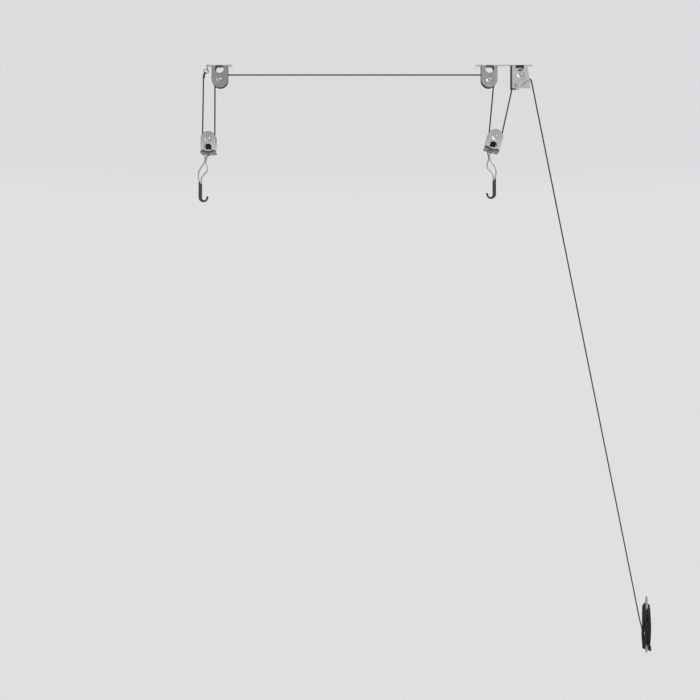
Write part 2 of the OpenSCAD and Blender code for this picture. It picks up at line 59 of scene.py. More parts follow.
camera_data = bpy.data.cameras.new("camera")
camera_data.sensor_width = 36.0
camera_data.lens = 51.43
camera = bpy.data.objects.new("camera", camera_data)
camera.location = VIEW_CENTRE - Vector((0, VIEW_DISTANCE, 0))
camera.rotation_euler = (math.radians(90), 0, 0)
bpy.context.scene.collection.objects.link(camera)
bpy.context.scene.camera = camera


# ---------------------------------------------------------------- mesh helpers

def v3(points):
    """Points in millimetres as an array in metres."""
    return np.array([list(p) for p in points], float) * MM


def spline(points, step, alpha=0.5):
    """Centripetal Catmull-Rom curve through the points, resampled at an even step."""
    p = np.asarray(points, float)
    p = np.vstack([2 * p[0] - p[1], p, 2 * p[-1] - p[-2]])
    out = []
    for i in range(1, len(p) - 2):
        p0, p1, p2, p3 = p[i - 1:i + 3]
        t0 = 0.0
        t1 = t0 + np.linalg.norm(p1 - p0) ** alpha
        t2 = t1 + np.linalg.norm(p2 - p1) ** alpha
        t3 = t2 + np.linalg.norm(p3 - p2) ** alpha
        for t in np.linspace(t1, t2, 24, endpoint=False):
            a1 = ((t1 - t) * p0 + (t - t0) * p1) / (t1 - t0)
            a2 = ((t2 - t) * p1 + (t - t1) * p2) / (t2 - t1)
            a3 = ((t3 - t) * p2 + (t - t2) * p3) / (t3 - t2)
            b1 = ((t2 - t) * a1 + (t - t0) * a2) / (t2 - t0)
            b2 = ((t3 - t) * a2 + (t - t1) * a3) / (t3 - t1)
            out.append(((t2 - t) * b1 + (t - t1) * b2) / (t2 - t1))
    out.append(p[-2])
    return even(out, step)


def even(points, step):
    """The same line with its points an even step apart."""
    p = np.asarray(points, float)
    s = np.concatenate([[0], np.cumsum(np.linalg.norm(np.diff(p, axis=0), axis=1))])
    count = max(2, int(round(s[-1] / step)) + 1)
    want = np.linspace(0, s[-1], count)
    return np.stack([np.interp(want, s, p[:, k]) for k in range(3)], axis=1)


def arc(centre, radius, start, end, step):
    """Arc about the Y direction in the plane y = 0, seen with X right and Z up, in degrees."""
    count = max(2, int(abs(math.radians(end - start)) * radius / step) + 1)
    a = np.radians(np.linspace(start, end, count))
    return np.stack([centre[0] + radius * np.cos(a), 0 * a, centre[1] + radius * np.sin(a)], axis=1)


def frames(path):
    """Tangents and a pair of normals that turn as little as they can along the path."""
    tangent = np.gradient(path, axis=0)
    tangent /= np.linalg.norm(tangent, axis=1)[:, None]
    start = np.array([0.0, 1.0, 0.0])
    if abs(tangent[0] @ start) > 0.9:
        start = np.array([1.0, 0.0, 0.0])
    u = start - tangent[0] * (start @ tangent[0])
    us = [u / np.linalg.norm(u)]
    for t in tangent[1:]:
        u = us[-1] - t * (us[-1] @ t)
        us.append(u / np.linalg.norm(u))
    us = np.array(us)
    return tangent, us, np.cross(tangent, us)


def mesh_object(name, verts, faces, material, smooth=True, uvs=None):
    """A new object of the mesh in the scene; uvs gives one pair for each vertex."""
    mesh = bpy.data.meshes.new(name)
    mesh.from_pydata([tuple(v) for v in verts], [], faces)
    mesh.validate()
    if uvs is not None:
        layer = mesh.uv_layers.new(name="along")
        flat = np.array([uvs[loop.vertex_index] for loop in mesh.loops], np.float32)
        layer.data.foreach_set("uv", flat.ravel())
    mesh.polygons.foreach_set("use_smooth", [smooth] * len(mesh.polygons))
    mesh.materials.append(material)
    obj = bpy.data.objects.new(name, mesh)
    bpy.context.scene.collection.objects.link(obj)
    return obj


def tube(name, path, radius, material, sides=16, relief=None, caps=True):
    """Tube along the path.

    radius is one number or one for each point, and relief(theta, s) scales it.
    """
    path = np.asarray(path, float)
    n = len(path)
    tangent, u, v = frames(path)
    s = np.concatenate([[0], np.cumsum(np.linalg.norm(np.diff(path, axis=0), axis=1))])
    theta = np.arange(sides) * 2 * math.pi / sides
    r = np.broadcast_to(np.asarray(radius, float), (n,))[:, None] * np.ones((1, sides))
    if relief is not None:
        r = r * relief(theta[None, :], s[:, None])
    ring = (
        path[:, None, :]
        + r[:, :, None] * np.cos(theta)[None, :, None] * u[:, None, :]
        + r[:, :, None] * np.sin(theta)[None, :, None] * v[:, None, :]
    )
    verts = list(ring.reshape(-1, 3))
    uvs = [(k / sides, s[i]) for i in range(n) for k in range(sides)]
    faces = []
    for i in range(n - 1):
        a, b = i * sides, (i + 1) * sides
        for k in range(sides):
            j = (k + 1) % sides
            faces.append((a + k, a + j, b + j, b + k))
    if caps:
        verts += [path[0], path[-1]]
        uvs += [(0.5, s[0]), (0.5, s[-1])]
        first, last, base = n * sides, n * sides + 1, (n - 1) * sides
        for k in range(sides):
            j = (k + 1) % sides
            faces.append((first, j, k))
            faces.append((last, base + k, base + j))
    return mesh_object(name, verts, faces, material, uvs=uvs)


def lathe(name, profile, axis_point, axis, material, sides=48):
    """Turned piece: profile is [distance along the axis, radius] in metres, closed at both ends."""
    axis = np.asarray(axis, float) / np.linalg.norm(axis)
    side = np.cross(axis, [0.3, 0.5, 0.81])
    side /= np.linalg.norm(side)
    up = np.cross(axis, side)
    verts, faces = [], []
    for h, r in profile:
        for k in range(sides):
            a = 2 * math.pi * k / sides
            outward = math.cos(a) * side + math.sin(a) * up
            verts.append(np.asarray(axis_point) + h * axis + r * outward)
    for i in range(len(profile) - 1):
        for k in range(sides):
            j = (k + 1) % sides
            faces.append((i * sides + k, (i + 1) * sides + k, (i + 1) * sides + j, i * sides + j))
    faces.append(tuple(range(sides)))
    faces.append(tuple(reversed(range((len(profile) - 1) * sides, len(profile) * sides))))
    return mesh_object(name, verts, faces, material)


# ---------------------------------------------------------------- materials

def fill_ramp(ramp, stops):
    """Set a colour ramp's stops, each (place, colour or grey)."""
    while len(ramp.elements) < len(stops):
        ramp.elements.new(0.5)
    for element, (place, colour) in zip(ramp.elements, stops):
        element.position = place
        element.color = (*colour, 1) if isinstance(colour, tuple) else (colour, colour, colour, 1)


class Nodes:
    """A material's node tree, with short ways to add and join nodes."""

    def __init__(self, name):
        self.material = bpy.data.materials.new(name)
        self.material.use_nodes = True
        self.tree = self.material.node_tree
        self.shader = self.tree.nodes["Principled BSDF"]
        self.coords = self.tree.nodes.new("ShaderNodeTexCoord")

    def put(self, socket, value):
        if isinstance(value, bpy.types.NodeSocket):
            self.tree.links.new(value, socket)
        else:
            socket.default_value = value

    def noise(self, scale, detail=4.0, roughness=0.55, vector=None):
        node = self.tree.nodes.new("ShaderNodeTexNoise")
        self.put(node.inputs["Vector"], vector or self.coords.outputs["Object"])
        node.inputs["Scale"].default_value = scale
        node.inputs["Detail"].default_value = detail
        node.inputs["Roughness"].default_value = roughness
        return node.outputs["Fac"]

    def stretched(self, scale):
        node = self.tree.nodes.new("ShaderNodeMapping")
        self.put(node.inputs["Vector"], self.coords.outputs["Object"])
        node.inputs["Scale"].default_value = scale
        return node.outputs["Vector"]

    def ramp(self, value, *stops):
        node = self.tree.nodes.new("ShaderNodeValToRGB")
        self.put(node.inputs["Fac"], value)
        fill_ramp(node.color_ramp, stops)
        return node.outputs["Color"]

    def math(self, operation, a, b=0.0, clamp=False):
        node = self.tree.nodes.new("ShaderNodeMath")
        node.operation = operation
        node.use_clamp = clamp
        self.put(node.inputs[0], a)
        self.put(node.inputs[1], b)
        return node.outputs["Value"]

    def mix(self, factor, a, b):
        node = self.tree.nodes.new("ShaderNodeMix")
        node.data_type = "RGBA"
        self.put(node.inputs["Factor"], factor)
        for socket, value in ((node.inputs[6], a), (node.inputs[7], b)):
            self.put(socket, (*value, 1) if isinstance(value, tuple) else value)
        return node.outputs[2]

    def bump(self, height, strength, distance, normal=None):
        node = self.tree.nodes.new("ShaderNodeBump")
        self.put(node.inputs["Height"], height)
        node.inputs["Strength"].default_value = strength
        node.inputs["Distance"].default_value = distance
        if normal is not None:
            self.put(node.inputs["Normal"], normal)
        return node.outputs["Normal"]

    def finish(self, colour, roughness, normal=None, **constants):
        self.put(self.shader.inputs["Base Color"], colour)
        self.put(self.shader.inputs["Roughness"], roughness)
        if normal is not None:
            self.put(self.shader.inputs["Normal"], normal)
        for key, value in constants.items():
            self.shader.inputs[key.replace("_", " ")].default_value = value
        return self.material


def scaled(colour, k):
    """The colour k times as bright, held below white."""
    return tuple(min(1.0, c * k) for c in colour)


# Painted shade for the underside of the base in the channels between the ears
CHANNEL_SHADE = (0.03, 0.03, 0.033)
# Painted shade for the inside of the punched windows
WINDOW_SHADE = (0.02, 0.02, 0.022)


def tumbled_steel(name, colour, rough_low, rough_high, painted_gradient=None, windows=(), channels=(),
                  underside_glare=None):
    """Dull zinc plate: cloudy patches, fine pits and rubbed spots.

    A height gradient, given as (low z, high z, tone at the low end, tone at the high end) in the node's own
    frame, is painted light. windows are punched holes (x, z, radius) with painted shade inside them. The
    base's underside tone is a painted reflection, paler than the rest, with painted shade in the channels
    between the ears, each given as (x0, x1).
    """
    n = Nodes(name)
    cloud = n.noise(34.0, 5.0)
    speck = n.noise(1100.0, 3.0, 0.65)
    wear = n.noise(75.0, 6.0, 0.7)
    tone = n.mix(n.ramp(cloud, (0.3, 0.0), (0.7, 1.0)), scaled(colour, 0.9), scaled(colour, 1.08))
    tone = n.mix(n.ramp(speck, (0.4, 0.0), (0.66, 0.5)), tone, scaled(colour, 0.62))
    tone = n.mix(n.ramp(wear, (0.62, 0.0), (0.74, 0.5)), tone, scaled(colour, 1.22))
    place = n.tree.nodes.new("ShaderNodeSeparateXYZ")
    n.put(place.inputs["Vector"], n.coords.outputs["Object"])
    # Painted light: the tone is scaled from one height to the other, standing in for light caught at the paler end
    if painted_gradient is not None:
        low, high, foot, top = painted_gradient
        height = n.tree.nodes.new("ShaderNodeMapRange")
        n.put(height.inputs["Value"], place.outputs["Z"])
        height.inputs["From Min"].default_value = low
        height.inputs["From Max"].default_value = high
        product = n.tree.nodes.new("ShaderNodeMix")
        product.data_type = "RGBA"
        product.blend_type = "MULTIPLY"
        product.inputs["Factor"].default_value = 1.0
        n.put(product.inputs[6], tone)
        n.put(product.inputs[7], n.mix(height.outputs["Result"], (foot,) * 3, (top,) * 3))
        tone = product.outputs[2]
    # Painted reflection: faces of the base that look down get a paler tone, as if lit from the bright floor
    if underside_glare is not None:
        facing = n.tree.nodes.new("ShaderNodeSeparateXYZ")
        n.put(facing.inputs["Vector"], n.coords.outputs["Normal"])
        underside = n.math("MULTIPLY", n.math("LESS_THAN", facing.outputs["Z"], -0.9),
                           n.math("GREATER_THAN", place.outputs["Z"], -0.0055))
        streak = n.noise(60.0, 5.0, 0.6, n.stretched((0.2, 2.0, 2.0)))
        sheet = n.mix(streak, scaled(underside_glare, 0.94), scaled(underside_glare, 1.06))
        # Painted shade: in the channels between the ears the underside is near black
        for x0, x1 in channels:
            inside = n.math("MULTIPLY", n.math("GREATER_THAN", place.outputs["X"], x0),
                            n.math("LESS_THAN", place.outputs["X"], x1))
            sheet = n.mix(inside, sheet, CHANNEL_SHADE)
        tone = n.mix(underside, tone, sheet)
    # Painted shade: the zinc within each window's circle is near black
    for x, z, radius in windows:
        flat = n.tree.nodes.new("ShaderNodeCombineXYZ")
        n.put(flat.inputs["X"], place.outputs["X"])
        n.put(flat.inputs["Z"], place.outputs["Z"])
        away = n.tree.nodes.new("ShaderNodeVectorMath")
        away.operation = "DISTANCE"
        n.put(away.inputs[0], flat.outputs["Vector"])
        away.inputs[1].default_value = (x, 0, z)
        edge = n.math("ADD", n.math("MULTIPLY", n.noise(300.0, 4.0, 0.7), 0.001), radius)
        tone = n.mix(n.math("LESS_THAN", away.outputs["Value"], edge), tone, WINDOW_SHADE)
    rough = n.ramp(cloud, (0.3, rough_low), (0.7, rough_high))
    pits = n.bump(speck, 0.3, 0.00012)
    wave = n.bump(n.noise(60.0, 2.0, 0.4), 0.15, 0.0006, pits)
    return n.finish(tone, rough, wave, Metallic=1.0)


def plated_steel(name, colour, rough_low, rough_high, brush=(1.0, 1.0, 1.0), brush_scale=300.0):
    """Zinc plate: spangled tone, brushed or tumbled scratches, dull and bright patches."""
    n = Nodes(name)
    spangle = n.tree.nodes.new("ShaderNodeTexVoronoi")
    spangle.inputs["Scale"].default_value = 650.0
    n.put(spangle.inputs["Vector"], n.coords.outputs["Object"])
    cloud = n.noise(90.0, 5.0)
    lines = n.noise(brush_scale, 6.0, 0.75, n.stretched(brush))
    tone = n.mix(n.ramp(cloud, (0.3, 0.0), (0.72, 1.0)), scaled(colour, 0.84), scaled(colour, 1.08))
    tone = n.mix(n.math("MULTIPLY", spangle.outputs["Distance"], 0.25), tone, scaled(colour, 0.7))
    rough = n.ramp(lines, (0.3, rough_low), (0.7, rough_high))
    scratch = n.bump(lines, 0.22, 0.0002)
    return n.finish(tone, rough, scratch, Metallic=1.0)


def moulded(name, colour, rough_low, rough_high, grain_scale, grain, coat=0.0):
    """Moulded plastic: faint flow marks, fine grain, scuffs that are a little paler."""
    n = Nodes(name)
    flow = n.noise(45.0, 4.0, 0.5, n.stretched((1.0, 1.0, 3.0)))
    scuff = n.noise(160.0, 8.0, 0.75)
    fine = n.noise(grain_scale, 3.0, 0.6)
    tone = n.mix(n.ramp(flow, (0.35, 0.0), (0.65, 1.0)), scaled(colour, 0.85), scaled(colour, 1.2))
    scuffed = tuple(c * 1.5 + 0.02 for c in colour)
    tone = n.mix(n.ramp(scuff, (0.58, 0.0), (0.7, 0.5)), tone, scuffed)
    rough = n.ramp(scuff, (0.35, rough_low), (0.7, rough_high))
    surface = n.bump(fine, grain, 0.0002)
    return n.finish(tone, rough, surface, Coat_Weight=coat, Coat_Roughness=0.25)


BRAID_PITCH = 4.6 * MM
BRAID_CELLS = 4


def braided(name, colour):
    """Braided cord: yarns that lean both ways under the mesh's own relief, and a little fuzz."""
    n = Nodes(name)
    split = n.tree.nodes.new("ShaderNodeSeparateXYZ")
    n.put(split.inputs["Vector"], n.coords.outputs["UV"])
    around = n.math("MULTIPLY", split.outputs["X"], 2 * math.pi * BRAID_CELLS)
    along = n.math("MULTIPLY", split.outputs["Y"], 2 * math.pi / BRAID_PITCH)
    over = n.math("MULTIPLY", n.math("COSINE", around), n.math("COSINE", along))
    right = n.math("SINE", n.math("MULTIPLY", n.math("ADD", around, along), 3.0))
    left = n.math("SINE", n.math("MULTIPLY", n.math("SUBTRACT", around, along), 3.0))
    pick = n.math("GREATER_THAN", over, 0.0)
    yarn = n.math("ADD", n.math("MULTIPLY", right, pick),
                  n.math("MULTIPLY", left, n.math("SUBTRACT", 1.0, pick)))
    fuzz = n.noise(2600.0, 3.0, 0.7)
    dirt = n.noise(35.0, 5.0, 0.6)
    tone = n.mix(n.ramp(yarn, (0.2, 0.0), (0.9, 1.0)), scaled(colour, 0.55), scaled(colour, 1.25))
    dusty = tuple(c + 0.03 for c in colour)
    fuzzy = tuple(c * 1.8 + 0.01 for c in colour)
    tone = n.mix(n.ramp(dirt, (0.45, 0.0), (0.75, 0.35)), tone, dusty)
    tone = n.mix(n.ramp(fuzz, (0.55, 0.0), (0.75, 0.4)), tone, fuzzy)
    rough = n.ramp(fuzz, (0.3, 0.62), (0.7, 0.85))
    height = n.math("ADD", n.math("MULTIPLY", yarn, 0.5), n.math("MULTIPLY", over, 0.5))
    weave = n.bump(height, 0.6, 0.0003)
    return n.finish(tone, rough, n.bump(fuzz, 0.35, 0.0002, weave),
                    Sheen_Weight=0.25, Sheen_Roughness=0.4, Specular_IOR_Level=0.3)


# The round windows of the two brackets and the brake, and the channels between their ears, both given painted
# shade
WINDOWS = [(0.0, -0.011, 0.0131), (0.807, -0.011, 0.0131), (0.897, -0.006, 0.0121)]
CHANNELS = [(-0.0235, 0.0235), (0.7835, 0.8305), (0.876, 0.917)]
# Painted reflection: the paler tone given to the downward faces of the brackets' base
UNDERSIDE_GLARE = (0.68, 0.685, 0.69)
bracket_zinc = tumbled_steel("bracket_steel", (0.50, 0.505, 0.51), 0.36, 0.46,
                             windows=WINDOWS, channels=CHANNELS, underside_glare=UNDERSIDE_GLARE)
light_zinc = tumbled_steel("light_steel", (0.69, 0.695, 0.70), 0.38, 0.48,
                           windows=WINDOWS, channels=CHANNELS, underside_glare=UNDERSIDE_GLARE)
# Painted shade: the hook plates are the same zinc as the blocks, given a dark tone
shaded_plate_zinc = tumbled_steel("hook_plate_shaded_steel", (0.15, 0.153, 0.158), 0.38, 0.5)
cam_metal = plated_steel("cam_steel", (0.66, 0.67, 0.68), 0.34, 0.55, (1.0, 1.0, 5.0))
zinc = plated_steel("bright_zinc", (0.74, 0.75, 0.77), 0.22, 0.42)
wire_zinc = plated_steel("wire_zinc", (0.52, 0.53, 0.55), 0.38, 0.52, (3.0, 3.0, 0.4))
black_steel = plated_steel("black_steel", (0.035, 0.035, 0.038), 0.35, 0.6)
nylon = moulded("black_nylon", (0.018, 0.018, 0.02), 0.35, 0.55, 1500.0, 0.25)
vinyl = moulded("soft_black", (0.036, 0.038, 0.041), 0.32, 0.5, 700.0, 0.35, 0.15)
cleat_paint = moulded("cleat_grey", (0.42, 0.43, 0.44), 0.3, 0.5, 1100.0, 0.3)
rope_black = braided("black_rope", (0.03, 0.03, 0.033))
thread_black = moulded("whipping_thread", (0.022, 0.022, 0.024), 0.45, 0.7, 2400.0, 0.5)


# ---------------------------------------------------------------- rope

ROPE_R = 2 * MM
ROPE_SIDES = 16
STEP = BRAID_PITCH / 4


def braid_relief(theta, s):
    """Staggered picks of an eight strand braid."""
    return 1 + 0.07 * np.cos(BRAID_CELLS * theta) * np.cos(2 * math.pi * s / BRAID_PITCH)


def rope(name, path, body=None):
    """A stretch of rope. One that joins two bodies gets none here, because a strand blends them."""
    obj = tube(name, path, ROPE_R, rope_black, ROPE_SIDES, braid_relief)
    if body:
        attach(obj, body)
    return obj


# The tail: from the brake, in a straight taut line, to the left side of the cleat
TAIL_ROUTE = [
    (934, 0, -44), (963, 25, -159), (992, 50, -274), (1021, 75, -389), (1050, 100, -504),
    (1079, 125, -619), (1108, 150, -734), (1137, 175, -849), (1166, 200, -964),
    (1195, 225, -1079), (1224, 250, -1194), (1253, 275, -1309), (1282, 300, -1424),
    (1311, 325, -1539), (1340, 350, -1654), (1368, 370, -1769), (1375, 374, -1793),
]
HANK_AT = np.array([1389.4, 373.0, -1785.5])

# Where each turn lies beside the horn, the first turn first, as (x, y, bulge). A turn with no bulge
# crosses in front of the middle; the others run straight and swell forward there by the bulge.
LANES = [
    (10.9, 4.5, 0.6), (7.9, 0.5, 0.6), (11.7, 0.2, 0.6), (7.2, -4.0, None), (11.3, -4.1, 0.6),
    (2.6, -8.6, None), (6.6, -8.6, None), (10.8, -8.4, 0.6), (4.7, -12.7, None), (5.6, -16.6, 7.0),
    (8.7, -12.7, None),
]


# Turns stack up on a horn in layers of five, each a little over the rope's diameter from the last
TURN_PITCH = 4.2
LAYER = 5


def wound_points():
    """Long turns round both horns; the outer ones are drawn a little towards the tail's side."""
    points = [(-13.5, 3.5, -30), (-11.5, 4.5, -52), (-8.0, 5.5, -70)]
    crossings = 0
    for turn, (x, y, bulge) in enumerate(LANES):
        high = 77.0 - TURN_PITCH * (turn % LAYER)
        back = 7.2 + TURN_PITCH * (turn // LAYER % 2)
        side = 0.9 * max(x, 7.8)
        shift = 14.0 * (crossings % 3 - 1)
        elbow_y, elbow_z, flank_z = back - 4.6, high - 4.5, high - 22
        for z in (-1, 1):
            if turn == len(LANES) - 1 and z == 1:
                break
            start = 1 if bulge is None or z < 0 else -1
            finish = -start if bulge is None else start
            if bulge is None:
                front = -(9.3 + 4.0 * (2 * (crossings // 2) + (z > 0)))
                middle = [(start * 0.8 * x, 0.55 * y + 0.45 * front, z * 27 + 0.5 * shift),
                          (0, front, shift),
                          (finish * 0.8 * x, 0.55 * y + 0.45 * front, -z * 27 + 0.5 * shift)]
            else:
                middle = [(start * (x + 0.3), y - 0.7 * bulge, z * 27),
                          (start * (x - 0.2), y - bulge, 0),
                          (start * (x + 0.2), y - 0.7 * bulge, -z * 27)]
            points += [(0, back, z * high), (start * side, elbow_y, z * elbow_z),
                       (start * x, y, z * flank_z)]
            points += middle
            points += [(finish * x, y, -z * flank_z), (finish * side, elbow_y, -z * elbow_z)]
        crossings += bulge is None
    # The last turn comes round to the front and down to the knot
    points += [
        (0, 8.2, 63), (8.4, 3.2, 60), (10.9, -11, 38), (11.6, -19.5, 18), (11.6, -22, 0),
        (11.0, -21.5, -25), (9.8, -20.4, -45), (9.0, -20, -60),
    ]
    return [HANK_AT + np.array([x + 0.22 * min(0, y + 4), y, z]) for x, y, z in points]


cord_path = spline(v3(TAIL_ROUTE + wound_points()), STEP)

tail_rope = rope("tail_rope", cord_path, "frame")
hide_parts("tail", "hank")

# Stopper knot: three tight turns round the rope, and a short melted end
KNOT = HANK_AT + np.array([5.5, -20, -67])
KNOT_TURNS, KNOT_R, KNOT_PITCH = 3, 3.4, 4.0
knot_path = [KNOT + np.array([0, 0, 8.5])]
for i in range(KNOT_TURNS * 16 + 1):
    a = 2 * math.pi * i / 16
    drop = KNOT_PITCH * i / 16
    knot_path.append(KNOT + np.array([KNOT_R * math.cos(a), KNOT_R * math.sin(a), 5.0 - drop]))
knot_path += [KNOT + np.array([2.0, 0.4, -8.3])]
knot_line = spline(v3(knot_path), STEP)
knot_radii = np.full(len(knot_line), ROPE_R)
knot_radii[-4:] = ROPE_R * np.array([0.98, 1.02, 0.9, 0.5])
end_knot = tube("rope_end_knot", knot_line, knot_radii, rope_black, ROPE_SIDES, braid_relief)
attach(end_knot, "frame")
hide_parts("end_knot")

# The stretches through the pulleys: axles, corners and ends as (x, z), and the radii at which the
# rope's centre runs round the top and the lower pulleys
LEFT_AXLE = (0.0, -0.042)
RIGHT_AXLE = (0.807, -0.042)
BRAKE_AXLE = (0.900, -0.029)
LEFT_LOW = (-0.034, -0.220)
RIGHT_LOW = (0.825, -0.214)
TOP_PITCH = 0.015
LOW_PITCH = 0.0185
EXIT_CORNER = (0.934, -0.044)
FALL_TOP = (-0.0495, -0.040)


def lean_between(a, b, way):
    """Lean from the vertical of the rope that crosses from wheel a up to wheel b.

    way is 1 where it goes up to the left side of b, or -1 to the right side of b.
    """
    across, up = b[0] - a[0], b[1] - a[1]
    return math.degrees(
        math.atan2(across, up) - way * math.asin((TOP_PITCH + LOW_PITCH) / math.hypot(across, up))
    )


def point_on(c, r, degrees):
    """The point of a circle in the plane y = 0."""
    a = math.radians(degrees)
    return (c[0] + r * math.cos(a), 0.0, c[1] + r * math.sin(a))


right_fall_lean = lean_between(RIGHT_LOW, RIGHT_AXLE, -1)
right_rise_lean = lean_between(RIGHT_LOW, BRAKE_AXLE, 1)
exit_line = (EXIT_CORNER[0] - BRAKE_AXLE[0], EXIT_CORNER[1] - BRAKE_AXLE[1])
exit_angle = math.degrees(
    math.atan2(exit_line[1], exit_line[0]) + math.acos(TOP_PITCH / math.hypot(*exit_line))
)

top_path = np.vstack([
    arc(LEFT_AXLE, TOP_PITCH, 180, 90, STEP),
    arc(RIGHT_AXLE, TOP_PITCH, 90, -right_fall_lean, STEP),
])
top_rope = rope("top_rope", even(top_path, STEP), "frame")
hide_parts("left_turn", "top_run", "right_turn")

brake_path = np.vstack([
    arc(BRAKE_AXLE, TOP_PITCH, 180 - right_rise_lean, exit_angle, STEP),
    [[EXIT_CORNER[0], 0, EXIT_CORNER[1]]],
])
brake_rope = rope("brake_rope", even(brake_path, STEP), "frame")
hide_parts("brake_turn")

left_bight = rope("left_bight_rope", arc(LEFT_LOW, LOW_PITCH, 180, 360, STEP), "left_axle")
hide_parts("left_bight")
right_bight = rope(
    "right_bight_rope",
    arc(RIGHT_LOW, LOW_PITCH, 180 - right_fall_lean, 360 - right_rise_lean, STEP),
    "right_axle",
)
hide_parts("right_bight")


def strand(name, top, foot):
    """Straight stretch that lengthens as the lower block goes down."""
    obj = rope(name + "_rope", even([top, foot], STEP))
    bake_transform(obj)
    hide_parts(name)


strand("left_fall", (FALL_TOP[0], 0, FALL_TOP[1]), point_on(LEFT_LOW, LOW_PITCH, 180))
strand("left_rise", point_on(LEFT_AXLE, TOP_PITCH, 180), point_on(LEFT_LOW, LOW_PITCH, 0))
strand("right_fall", point_on(RIGHT_AXLE, TOP_PITCH, -right_fall_lean),
       point_on(RIGHT_LOW, LOW_PITCH, 180 - right_fall_lean))
strand("right_rise", point_on(BRAKE_AXLE, TOP_PITCH, 180 - right_rise_lean),
       point_on(RIGHT_LOW, LOW_PITCH, -right_rise_lean))

# The fixed end: an eye round the ring, seized with thread
RING_AT = np.array([-41.75, 0, -15.9])
PULL = np.array([-0.5, 0, -0.866])
EYE_R = 3.5
eye_at = RING_AT + 7.0 * PULL
whip_top = eye_at + 6.0 * PULL
side_y = np.array([0, 1, 0])
leg_apart = 1.9 * side_y
eye_points = [whip_top + leg_apart + 9 * np.array([-0.1, 0, -0.995]), whip_top + leg_apart]
for degrees in range(0, 181, 20):
    a = math.radians(degrees)
    eye_points.append(eye_at + EYE_R * (math.cos(a) * side_y - math.sin(a) * PULL))
eye_points += [whip_top - leg_apart, np.array([-48.9, -0.6, -33]), np.array([-49.5, 0, -40])]
eye = rope("rope_eye", spline(v3(eye_points), STEP), "frame")
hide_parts("anchor_eye")
whip_line = even(v3([whip_top - 0.5 * PULL, [-49.0, 0, -36.5]]), 0.25 * MM)
whipping = tube(
    "eye_whipping", whip_line, 3.0 * MM, thread_black, 24,
    lambda theta, s: 1 + 0.07 * np.abs(np.sin(math.pi * s / (1.0 * MM) + theta / 2)),
)
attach(whipping, "frame")


# ---------------------------------------------------------------- hooks

# A shank is (x, z) from the hook's hole down; the coating starts GRIP_START below the hole
NEAR_SHANK = [(0, 5), (0, -14), (-1, -26), (-5, -36), (-13, -47), (-18, -57), (-20, -68),
              (-18.5, -80), (-17, -90)]
FAR_SHANK = [(0, 5), (0, -7), (-2.6, -17), (-2, -25), (1.2, -36), (2.1, -43), (0, -50), (-8, -59),
             (-15, -68), (-16.8, -76), (-17, -86), (-17, -94)]
# A bend is (radius, drop of its centre)
NEAR_BEND, FAR_BEND = (12.0, 133.5), (9.0, 130.0)
TIP_RISE, GRIP_START = 1.0, 88.0
WIRE_R, GRIP_R = 2.0 * MM, 2.8 * MM


HEAD_PROFILE = [(-0.5, 2.0), (0.0, 2.9), (0.15, 3.35), (0.45, 3.6), (0.95, 3.58), (1.25, 3.3),
                (1.45, 2.6), (1.5, 1.2)]
# How far each ring of the coating's round end stands out, as a share of its radius
CAP_STEPS = np.array([0.3, 0.55, 0.75, 0.9, 0.98])


def hook_line(shank, bend, direction, origin):
    """Middle line of a hook's wire, from its head to its tip."""
    x0 = shank[-1][0]
    r, drop = bend
    flat = list(shank) + [(x0, -118)]
    flat += [
        (x0 + r + r * math.cos(math.radians(a)), -drop + r * math.sin(math.radians(a)))
        for a in range(180, 361, 15)
    ]
    flat += [(x0 + 2 * r + 0.2, -drop + TIP_RISE)]
    return spline([origin + np.array([direction * x, 0, z]) * MM for x, z in flat], 1.5 * MM)


def make_hook(side, place, shank, bend, direction):
    """The wire with its upset head, and the dipped coating over its lower part."""
    body = f"{side}_{place}_hook_body"
    origin = np.array(joints[f"{side}_{place}_hook_swivel"]["pos_m"], float)
    line = hook_line(shank, bend, direction, origin)
    wire = tube(f"{side}_{place}_hook_wire", line, WIRE_R, wire_zinc, 20)
    head_at = origin + np.array([0, 0, 4.3]) * MM
    head = lathe(f"{side}_{place}_hook_head", [(h * MM, r * MM) for h, r in HEAD_PROFILE],
                 head_at, (0, 0, 1), wire_zinc)
    head.parent = wire
    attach(wire, body)
    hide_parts(f"{side}_{place}_hook")

    coat = line[line[:, 2] < origin[2] - (GRIP_START - 1) * MM]
    out = coat[-1] - coat[-2]
    out /= np.linalg.norm(out)
    cap = np.array([coat[-1] + c * GRIP_R * out for c in CAP_STEPS])
    path = np.vstack([coat, cap])
    s = np.concatenate([[0], np.cumsum(np.linalg.norm(np.diff(path, axis=0), axis=1))])
    radii = np.full(len(path), GRIP_R)
    radii *= 0.78 + 0.22 * np.clip(s / (4 * MM), 0, 1) ** 0.5
    radii *= 1 + 0.012 * np.sin(s / (9 * MM)) + 0.008 * np.sin(s / (3.7 * MM) + 1.3)
    radii[-len(CAP_STEPS):] = GRIP_R * np.sqrt(1 - CAP_STEPS ** 2)
    grip = tube(f"{side}_{place}_hook_grip", path, radii, vinyl, 28)
    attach(grip, body)
    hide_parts(f"{side}_{place}_grip")


for side, direction in (("left", 1), ("right", -1)):
    make_hook(side, "near", NEAR_SHANK, NEAR_BEND, direction)
    make_hook(side, "far", FAR_SHANK, FAR_BEND, direction)


# ---------------------------------------------------------------- cam spring

PIN = np.array([893.0, 0.0, -64.0])
COILS, COIL_R, COIL_STEPS = 4.5, 4.6, 20
SPRING_WIRE_R = 0.6 * MM
spring_points = []
for i in range(int(COILS * COIL_STEPS) + 1):
    a = math.radians(140) + 2 * math.pi * i / COIL_STEPS
    y = 8.1 - 3.6 * i / (COILS * COIL_STEPS)
    spring_points.append(PIN + np.array([COIL_R * math.cos(a), y, COIL_R * math.sin(a)]))
leg = PIN + np.array([-8.0, 0, 7.0])
heel = PIN + np.array([-8.0, 0, 0])
